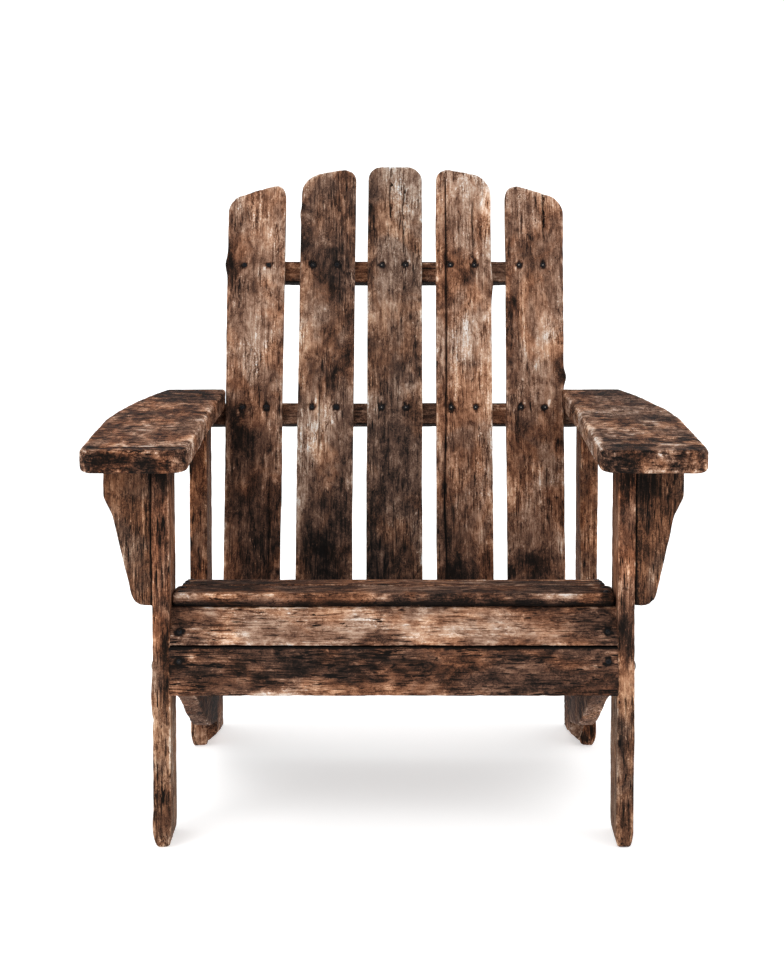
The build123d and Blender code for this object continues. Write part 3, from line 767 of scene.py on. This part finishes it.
def make_plugs(node):
    """Every plug of a node, each a little lighter than the last."""
    points, faces, paint = [], [], []
    for number, solid in enumerate(solid_islands(node)):
        middle, top = solid.mean(0), solid[:, 2].max()
        radius = np.ptp(solid[:, 0]) / 2
        tone = PLUG_TONE + PLUG_TONE_STEP * number
        start = len(points)
        points.append((middle[0], middle[1], top + PLUG_TOP))
        paint.append((tone, 0.0, 0.0))
        for share, rise in PLUG_PROFILE:
            rim_dark = PLUG_RIM_DARK * (share > PLUG_RIM)
            for k in range(PLUG_SIDES):
                angle = 2 * pi * k / PLUG_SIDES
                points.append((middle[0] + share * radius * cos(angle),
                               middle[1] + share * radius * sin(angle), top + rise))
                paint.append((tone, PLUG_WORN * share ** 3, rim_dark))
        faces += ring_faces(start, len(PLUG_PROFILE), PLUG_SIDES)
        faces.append([len(points) - 1 - k for k in range(PLUG_SIDES)])
    plugs = new_object("arm_plugs_wood", points, faces)
    store(plugs.data, "grain", np.array(points)[:, [2, 1, 0]] * MM)
    store(plugs.data, "paint", np.array(paint))
    store(plugs.data, "tint", np.ones((len(points), 3)))
    plugs.data.materials.append(wood["arm_wood"])
    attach(plugs, BODY)
    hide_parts(node)


make_plugs("arm_plugs")

# ------ the boards
X, Y, Z = np.eye(3)


def facing_place(node, along_x):
    """Frame of a board tilted about X: its w runs along X or up the board."""
    normal = show_normal(node)
    up = np.cross(normal, X)
    return Place(node, up, normal, X) if along_x else Place(node, X, normal, up)


# Back slats from the left. corners: radii of the two top ones. lean: how far the top
# leans to the right. wider, taller: what is added on the right and at the top
SLATS = [
    dict(base=0.515, corners=(17, 19), lean=2.0, wider=0.8, taller=2.8,
         patches=spots((0, 98, 120, 10, 15), (55, 86, 45, 9, 16), (-75, 80, 45, 6, -16),
            (-100, 80, 25, 3, -20), (25, 61, 55, 10, 22), (-40, 56, 60, 7, 12),
            (-50, 36, 55, 7, -24), (10, 12, 75, 17, -20), (-100, 18, 22, 22, 24)),
         knots=[(-1, 0.80, 3.5, 12)], cracks=[(0.62, 0.0, 0.3, 0.5, 0.8, 1.5)]),
    dict(base=0.48, corners=(24, 20), lean=4.0, wider=2.4, taller=1.6,
         patches=spots((-80, 98, 50, 4, 12), (30, 74, 70, 6, -14), (-70, 64, 40, 9, 20),
            (-25, 61, 40, 5, 16), (60, 52, 50, 5, -12), (-35, 34, 60, 9, 30),
            (30, 30, 40, 10, 8), (10, 9, 90, 12, -22), (-100, 20, 20, 14, 22),
            (-80, 84, 30, 5, -22)),
         knots=[(-1, 0.91, 1.5, 16)], cracks=[(-0.2, 0.30, 0.5, 0.5, 0.8, 1.5)],
         tint=(0.94, 1.02, 1.08)),
    dict(base=0.50, corners=(18, 21), lean=1.5, wider=1.6, taller=1.2,
         patches=spots((30, 93, 90, 12, 25), (-95, 86, 30, 8, -22), (0, 66, 100, 6, 10),
            (-20, 30, 80, 12, -14), (-80, 10, 50, 15, -16), (0, 2, 100, 5, -15)),
         cracks=[(-0.13, 0.87, 1.0, 1.0, 3.0, 0.8), (0.33, 0.78, 0.96, 0.9, 2.4, 1.0)],
         tint=(0.91, 1.03, 1.12)),
    dict(base=0.60, corners=(18, 24), lean=1.0, wider=2.6, taller=1.6,
         patches=spots((30, 97, 90, 7, 14), (85, 85, 25, 10, 14), (0, 75, 70, 4, -14),
            (40, 61, 60, 7, 15), (-30, 53, 35, 6, 14), (90, 38, 25, 12, 20),
            (100, 70, 16, 3, -30), (-20, 35, 50, 8, -8), (-30, 12, 90, 8, -18),
            (0, 2, 100, 5, -32)),
         knots=[(1, 0.72, 2.6, 20)],
         cracks=[(-0.66, 0.0, 1.0, 1.25, 4.2, 3.5), (0.32, 0.80, 0.93, 0.5, 1.2, 1.0)]),
    dict(base=0.56, corners=(22, 20), lean=2.5, wider=1.9, taller=2.0,
         patches=spots((50, 97, 70, 5, 12), (-20, 83, 60, 4, -8), (30, 60, 60, 10, 20),
            (-90, 60, 30, 10, -16), (-30, 38, 60, 8, -12), (80, 35, 30, 5, -10),
            (20, 27, 40, 5, 8), (0, 3, 100, 4, -28), (100, 51, 30, 3, -32),
            (-80, 70, 30, 4, -25)),
         knots=[(1, 0.51, 4.0, 10)], cracks=[(0.35, 0.86, 1.0, 0.9, 2.4, 1.0)]),
]
SEAT_LINE = 136.0  # the slats' length hidden below the seat's front
BACK_TOP_RADIUS = 520.0  # arc through the tops of the slats
OUTER_FLATTER = 0.76  # the outermost slats' tops are cut flatter than the arc
SLAT_TOP, SLAT_OWN_END = 90.0, 60.0  # length that the arc moves, and its last part
KNOT_FROM = 0.3  # how far across a slat a knot's swelling starts


def make_slat(number, base, patches, corners, lean, wider, taller, cracks, knots=(),
              tint=PLAIN):
    """One back slat: its top follows the back's arc, and its edges wander."""
    place = facing_place(f"back_slat_{number}", False)

    def shape(p, size):
        u, w = p[:, 0].copy(), p[:, 2].copy()
        x = u + place.low[0]
        drop = BACK_TOP_RADIUS - np.sqrt(BACK_TOP_RADIUS ** 2 - x ** 2)
        drop *= OUTER_FLATTER if number in (1, len(SLATS)) else 1
        top = -drop - corner_drop(u, corners[0]) - corner_drop(size[0] - u, corners[1])
        lift = np.clip((w - size[2] + SLAT_TOP) / SLAT_TOP, 0, 1)
        p[:, 2] = w + eased(lift) * (top - top.max() + taller)
        share = w / size[2]
        p[:, 0] += lean * share ** 2 + wider * u / size[0]
        for side, at, height, reach in knots:
            middle = SEAT_LINE + at * (size[2] - SEAT_LINE)
            beside = np.clip(side * (u / size[0] * 2 - 1) - KNOT_FROM, 0, 1)
            beside /= 1 - KNOT_FROM
            p[:, 0] += side * height * beside * bump(w, middle, reach)
        return p

    board(f"slat_{number}", place, "back_wood", (base, patches), 10 + number, shape,
          cracks=cracks, show_from=SEAT_LINE, own_end=SLAT_OWN_END, tints=(tint, tint))


for number, spec in enumerate(SLATS, 1):
    make_slat(number, **spec)

# Aprons: their w runs from the left end to the right end
APRON_LOOKS = {
    "apron_upper": (0.61, spots((0, 0, 150, 9, -16), (-70, 17, 50, 5, 12),
        (0, 42, 90, 12, 12), (-85, 50, 35, 7, -22), (-40, 65, 60, 12, 22),
        (70, 80, 60, 10, -10), (0, 100, 150, 12, -24))),
    "apron_lower": (0.405, spots((-90, 27, 35, 14, 24), (-80, 50, 40, 20, 10),
        (90, 0, 80, 5, -10), (0, 20, 50, 5, -6))),
}
END_LAP, FACE_LAP = 2.6, 0.9  # the aprons lap the legs' corners by a little
APRON_RISE, APRON_DROP = 4.0, 4.8  # upper apron's long edges, up and down
LOWER_TOP_FALL, LOWER_FALL = 2.3, 1.2  # lower apron's top and bottom edges, down
# Reach of the painted shade along the edges of the lower apron and the rails
SHADE_REACH = 2.6


def shade_on_edges(lower, upper):
    """Painted shade along a level board's edges, as dark as these numbers."""
    def darkening(p, size):
        return (lower * bump(p[:, 0], p[:, 0].min(), SHADE_REACH)
                + upper * bump(p[:, 0], p[:, 0].max(), SHADE_REACH))
    return darkening


def lap_ends(p, size):
    """Let a board run a little over what stands beside it."""
    share = p[:, 2] / size[2] * 2 - 1
    p[:, 2] += END_LAP * share
    p[:, 1] += FACE_LAP * p[:, 1] / size[1]
    return p


def shape_upper_apron(p, size):
    """Shear the tilted board so that its long edges are level."""
    normal = show_normal("apron_upper")
    skew = normal[2] / -normal[1]
    width = size[0] - size[1] * skew
    share = p[:, 0] / size[0]
    p[:, 0] = share * width + (size[1] - p[:, 1]) * skew
    p[:, 0] += (APRON_RISE + APRON_DROP) * share - APRON_DROP
    return lap_ends(p, size)


def shape_lower_apron(p, size):
    """Set the board's long edges a little lower."""
    share = p[:, 0] / size[0]
    p[:, 0] += (LOWER_FALL - LOWER_TOP_FALL) * share - LOWER_FALL
    return lap_ends(p, size)


board("upper_apron", facing_place("apron_upper", True), "apron_wood",
      APRON_LOOKS["apron_upper"], 31, shape_upper_apron)
board("lower_apron", facing_place("apron_lower", True), "apron_wood",
      APRON_LOOKS["apron_lower"], 32, shape_lower_apron, darkening=shade_on_edges(0.0, 1.0))

# Seat: u runs to the rear. Only the front slat, with its bullnose, is seen from ahead
SEAT_LOOKS = {
    1: (0.41, spots((-100, 15, 30, 15, 24), (-100, 45, 30, 8, 10), (-100, 62, 30, 7, -8),
        (-100, 90, 30, 8, 20), (50, 60, 60, 20, 8))),
    2: (0.42, spots((0, 10, 100, 15, -10), (0, 65, 100, 20, 10))),
}
NOSE, NOSE_UNDER = 6.0, 11.5  # radii of the bullnose above and below
NOSE_BACK = 16.5  # how far back the lower rounding fades
# Painted shade under the bullnose: how dark, up to which share of the height, and how far
# back
NOSE_SHADE, NOSE_SHADE_HEIGHT, NOSE_SHADE_BACK = 1.1, 0.7, 16.0
SEAT_END_ROUND = 13.0  # radius of the slats' rear corners
SEAT_END_LAP = 5.5  # how much longer the front slat is at each end


def seat_shape(number):
    """Round a slat's rear corners, and the underside of the first one's nose."""
    def shape(p, size):
        share = p[:, 2] / size[2] * 2 - 1
        p[:, 2] += SEAT_END_LAP * share if number == 1 else 0
        p[:, 2] -= corner_drop(size[0] - p[:, 0], SEAT_END_ROUND) * share
        if number == 1:
            p[:, 0] += corner_drop(p[:, 1], NOSE_UNDER) * near(p[:, 0], NOSE_BACK)
        return p
    return shape


def shade_under_nose(p, size):
    """Painted shade on the lower part of the bullnose."""
    low = near(p[:, 1], NOSE_SHADE_HEIGHT * size[1])
    return NOSE_SHADE * low * bump(p[:, 0], 0, NOSE_SHADE_BACK)


for number in range(1, 8):
    look = SEAT_LOOKS.get(number, (0.45, random_patches(40 + number)))
    board(f"seat_board_{number}", facing_place(f"seat_slat_{number}", True),
          "seat_wood", look, 40 + number, seat_shape(number),
          rounds=(NOSE if number == 1 else ARRIS, ARRIS),
          darkening=shade_under_nose if number == 1 else None)

for number, name in enumerate(("upper_back_rail", "lower_back_rail", "bottom_back_rail")):
    board(name + "_wood", facing_place(name, True), "rail_wood",
          (0.54, random_patches(60 + number, 4)), 60 + number,
          darkening=shade_on_edges(0.7, 0.5))

# In these looks the dark patches at the top ends, under the arms, are painted shade, and
# so is the left front leg's dark patch on its inner part at the aprons' height
UPRIGHT_LOOKS = {
    "front_leg_left": (0.49, spots((0, 100, 200, 10, -30), (-80, 45, 60, 15, 8),
        (0, 78, 200, 16, -6), (90, 52, 60, 12, -36), (0, 27, 150, 12, 8),
        (30, 10, 100, 6, -10))),
    "front_leg_right": (0.455, spots((0, 62, 200, 10, -4), (0, 100, 200, 8, -30),
        (50, 75, 100, 6, 12), (-60, 57, 90, 7, -28), (30, 42, 100, 6, 20))),
    "rear_post_left": (0.475, spots((0, 100, 200, 10, -15), (0, 62, 100, 6, 8),
        (0, 2, 200, 7, 13))),
    "rear_post_right": (0.475, spots((0, 100, 200, 6, -10), (40, 60, 80, 6, 6),
        (0, 3, 200, 6, -12))),
    "bracket_left": (0.52, spots((0, 100, 200, 12, -12), (90, 50, 40, 60, -10))),
    "bracket_right": (0.41, spots((-50, 95, 100, 20, -20), (20, 30, 100, 20, 8))),
}
# Tints at the lower and the upper end
UPRIGHT_TINTS = {"front": ((0.93, 1.01, 1.03), (1.08, 0.98, 0.90)),
                 "rear": ((1.07, 0.99, 0.90),) * 2, "bracket": ((0.97, 1.01, 1.0),) * 2}
# Outer edges' swellings: height above the ground, reach, how far out
LEG_OUTLINES = {"front_leg_left": [(190, 26, 1.8), (160, 5, -1.2), (30, 12, 1.0)],
                "front_leg_right": [(150, 30, 0.8)]}
FOOT_WORN, FOOT_RISE = 4.2, 22.0  # how far the feet are worn in, and how far up
# Painted light on a front leg's inner side: its strength, its reach and how long it stays
# full
SIDE_PALE, SIDE_PALE_REACH, SIDE_PALE_FULL = 0.12, 1.6, 1.4
# Painted shade where a bracket meets its leg: how dark, and how far it reaches
SEAM_DARK, SEAM_REACH = 0.8, 2.4


def from_inside(p, size, side):
    """How far each point is from its board's side towards the chair's middle."""
    return size[0] - p[:, 0] if side < 0 else p[:, 0]


def seam_shade(side):
    """Painted shade along the edge where a bracket meets its leg."""
    def darkening(p, size):
        return SEAM_DARK * bump(from_inside(p, size, side), 0, SEAM_REACH)
    return darkening


def inner_side_light(side):
    """Painted light: a leg's inner side, which lies in shade, is made a little paler than
    its front.
    """
    def pale(p, size):
        far = from_inside(p, size, side)
        return SIDE_PALE * near(far, SIDE_PALE_REACH, SIDE_PALE_FULL)
    return pale


def foot_shape(side, outline):
    """Round a foot off, more on its outer side, and let the outer edge wander."""
    def shape(p, size):
        share = side * (p[:, 0] / size[0] * 2 - 1)
        low = near(p[:, 2], FOOT_RISE) ** 2
        p[:, 0] -= side * FOOT_WORN * low * np.clip(share, -0.5, 1)
        p[:, 1] -= FOOT_WORN * low * p[:, 1] / size[1]
        for at, reach, out in outline:
            p[:, 0] += side * out * bump(p[:, 2], at, reach) * np.clip(share, 0, 1)
        return p
    return shape


for number, (node, look) in enumerate(UPRIGHT_LOOKS.items()):
    kind = node.split("_")[0]
    side = -1 if node.endswith("left") else 1
    board(node + "_wood", Place(node, X, -Y, Z), "frame_wood", look, 70 + number,
          None if kind == "bracket" else foot_shape(side, LEG_OUTLINES.get(node, ())),
          steps=(1.7, 3.2), darkening=seam_shade(side) if kind == "bracket" else None,
          pale=inner_side_light(side) if kind == "front" else None, tints=UPRIGHT_TINTS[kind])

# Stringers: their u runs up, their v outwards and their w to the rear
TAIL_LIFT = 3.0  # rounding of their lower rear corners
# The underside slopes down behind the post's front: height at the start, how much
# higher and how wide its inner part is, and the slope's share in it
HEEL_HEIGHT, HEEL_SLANT, HEEL_SLANT_REACH, HEEL_SHARE = 8.0, 12.0, 14.0, 0.75
# Before it the underside has two waves: middle, reach and height
UNDERSIDE = [(120.0, 80.0, 6.0), (320.0, 100.0, -8.0)]
UNDERSIDE_BLEND = 60.0  # height in which the underside's changes fade
# Painted light makes it paler than the sides up to here along it, and painted shade darker
# behind
UNDERSIDE_PALE, PALE_TO, PALE_TURN, PALE_LEAST = 0.10, 470.0, 20.0, -0.8
EDGE_PALE_REACH, EDGE_PALE_FULL = 5.0, 1.3


def lower_edge(p):
    """Height of a stringer's underside at each of its points."""
    rows, row = np.unique(p[:, 2].round(1), return_inverse=True)
    low = np.full(len(rows), np.inf)
    np.minimum.at(low, row.ravel(), p[:, 0])
    return low[row.ravel()]


def underside_light_and_shade(p, size):
    """Painted light on a stringer's underside, and painted shade on it further back."""
    edge = near(p[:, 0] - lower_edge(p), EDGE_PALE_REACH, EDGE_PALE_FULL)
    return UNDERSIDE_PALE * edge * np.clip((PALE_TO - p[:, 2]) / PALE_TURN, PALE_LEAST, 1)


def stringer_shape(post_front):
    """Give the underside its waves, sloped heel and round tail."""
    def shape(p, size):
        w, low = p[:, 2], lower_edge(p)
        share = np.clip((w - post_front) / (size[2] - post_front), 0, 1)
        heel = (HEEL_HEIGHT + HEEL_SLANT * near(p[:, 1], HEEL_SLANT_REACH)) * (1 - share)
        sloped = np.minimum(low, heel) * (1 - HEEL_SHARE) + heel * HEEL_SHARE
        wanted = np.where(share > 0, sloped, low)
        for middle, reach, height in UNDERSIDE:
            wanted += height * bump(w, middle, reach) * (share == 0)
        wanted += corner_drop(size[2] - w, TAIL_LIFT)
        p[:, 0] += (wanted - low) * near(p[:, 0] - low, UNDERSIDE_BLEND)
        return p
    return shape


for number, (name, side) in enumerate(SIDES):
    place = Place("stringer_" + name, Z, side * X, Y)
    notch = [post.y / MM - place.low[2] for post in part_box("rear_post_" + name)]
    # The last patch is painted light on the stringer's lower edge, which lies in shade
    patches = random_patches(80 + number) + spots((-100, 80, 30, 30, 28))
    board(f"stringer_{name}_wood", place, "frame_wood", (0.40, patches),
          80 + number, stringer_shape(notch[0]), steps=(2.6, 3.6), breaks=notch,
          pale=underside_light_and_shade)

# Arms: their u runs outwards and their w to the rear, and their grain runs along u
ARMS = {
    "left": dict(
        base=0.49, end_tone=-0.12, tint=(1.07, 0.99, 0.93),
        patches=spots((0, 0, 200, 2, -5), (90, 0, 40, 3, -8), (60, 10, 60, 5, 10),
            (-20, 4.5, 120, 1, -30), (-10, 7.5, 70, 1.2, 28), (-75, 12, 40, 6, 14),
            (-85, 25, 40, 8, -8), (0, 38, 90, 10, 12), (30, 60, 80, 5, -9),
            (10, 72, 60, 3, 12), (-100, 50, 12, 60, 15), (0, 92, 200, 12, -13)),
        splits=[(-0.91, 0.12, 0.9, 0.8, 2.6, 3.0), (-0.36, 0.3, 0.7, 0.6, 1.6, 2.5)]),
    "right": dict(
        base=0.515, end_tone=-0.04, tint=PLAIN,
        patches=spots((30, 0, 70, 2, 12), (-90, 0, 50, 3, -20), (-60, 7, 60, 5, -20),
            (35, 9.5, 60, 1.6, 32), (30, 20, 30, 2, 22), (-75, 10, 20, 2, 22),
            (0, 15, 120, 1.2, -22), (-10, 30, 80, 5, 10), (50, 45, 60, 5, -5),
            (0, 60, 100, 5, 8), (-100, 50, 12, 60, 12), (0, 93, 200, 10, -13)),
        splits=[(-0.86, 0.3, 0.95, 0.8, 2.4, 3.0), (-0.45, 0.15, 0.5, 0.7, 2.0, 2.5)]),
}
ARM_BULGE = 4.5  # how far the arms' rear inner edges swell out,
BULGE_FROM, BULGE_OVER = 0.55, 0.4  # and along which share of their length
ARM_CORNER, CORNER_ACROSS, CORNER_ALONG = 8.0, 17.0, 70.0  # worn front inner corners
ARM_TRIM, TRIM_ALONG = 2.2, 30.0  # and front outer corners


def shape_arm(p, size):
    """Swell an arm's rear inner edge, and wear its two front corners back."""
    rear = eased(np.clip((p[:, 2] / size[2] - BULGE_FROM) / BULGE_OVER, 0, 1))
    p[:, 0] -= ARM_BULGE * rear * (1 - p[:, 0] / size[0]) ** 2
    front = near(p[:, 2], CORNER_ALONG)
    p[:, 2] += ARM_CORNER * np.exp(-p[:, 0] / CORNER_ACROSS) * front
    p[:, 0] -= ARM_TRIM * np.exp(-p[:, 2] / TRIM_ALONG) * p[:, 0] / size[0]
    return p


for number, (name, side) in enumerate(SIDES):
    arm = ARMS[name]
    board(f"arm_{name}_wood", Place("arm_" + name, side * X, Z, Y), "arm_wood",
          (arm["base"], arm["patches"]), 90 + number, shape_arm,
          rounds=(5.5, 5.5), splits=arm["splits"], steps=(2.4, 3.0),
          chip=0.7, grain_order=(2, 1, 0), grain_scale=(0.45, 0.8, 1.8),
          end_tone=arm["end_tone"], tints=(arm["tint"], arm["tint"]))

# ------ stage and camera
EYE = (0.0, -3.3252, 0.9101)  # the photographer's place
PITCH = 4.33  # degrees down
LENS, SHIFT_X, SHIFT_Y = 91.58, -0.0017, -0.2
WHITE = (1, 1, 1, 1)
FLOOR_HALF, FLOOR_GREY, FLOOR_ROUGH, FLOOR_GLOW = 60000.0, 0.80, 0.9, 0.5
LIGHTS = [("key", (-1.8, -3.2, 2.8), 2.2, 60),  # name, place, diameter and power
          ("fill", (2.6, -2.6, 1.6), 2.4, 20)]
LIGHTS_AIM = Vector((0, 0, 0.4))
SKY_STRENGTH = 1.12

camera_data = bpy.data.cameras.new("camera")
camera = bpy.data.objects.new("camera", camera_data)
scene.collection.objects.link(camera)
camera.location = EYE
camera.rotation_euler = (radians(90 - PITCH), 0, 0)
camera_data.lens = LENS
camera_data.shift_x, camera_data.shift_y = SHIFT_X, SHIFT_Y
scene.camera = camera

floor = new_object("floor", [(x * FLOOR_HALF, y * FLOOR_HALF, 0)
                             for x, y in ((-1, -1), (1, -1), (1, 1), (-1, 1))],
                   [(0, 1, 2, 3)], False)
floor_material = bpy.data.materials.new("floor")
floor_material.use_nodes = True
floor_shader = floor_material.node_tree.nodes["Principled BSDF"]
floor_shader.inputs["Base Color"].default_value = (FLOOR_GREY, FLOOR_GREY, FLOOR_GREY, 1)
floor_shader.inputs["Roughness"].default_value = FLOOR_ROUGH
floor_shader.inputs["Emission Color"].default_value = WHITE
floor_shader.inputs["Emission Strength"].default_value = FLOOR_GLOW
floor.data.materials.append(floor_material)

for name, place, diameter, power in LIGHTS:
    disk = bpy.data.lights.new(name, "AREA")
    disk.shape = "DISK"
    disk.size = diameter
    disk.energy = power
    light = bpy.data.objects.new(name, disk)
    scene.collection.objects.link(light)
    light.location = place
    beam = LIGHTS_AIM - Vector(place)
    light.rotation_euler = beam.to_track_quat("-Z", "Y").to_euler()

world = bpy.data.worlds.new("studio")
world.use_nodes = True
sky = world.node_tree.nodes["Background"]
sky.inputs["Color"].default_value = WHITE
sky.inputs["Strength"].default_value = SKY_STRENGTH
scene.world = world
scene.view_settings.view_transform = "Standard"
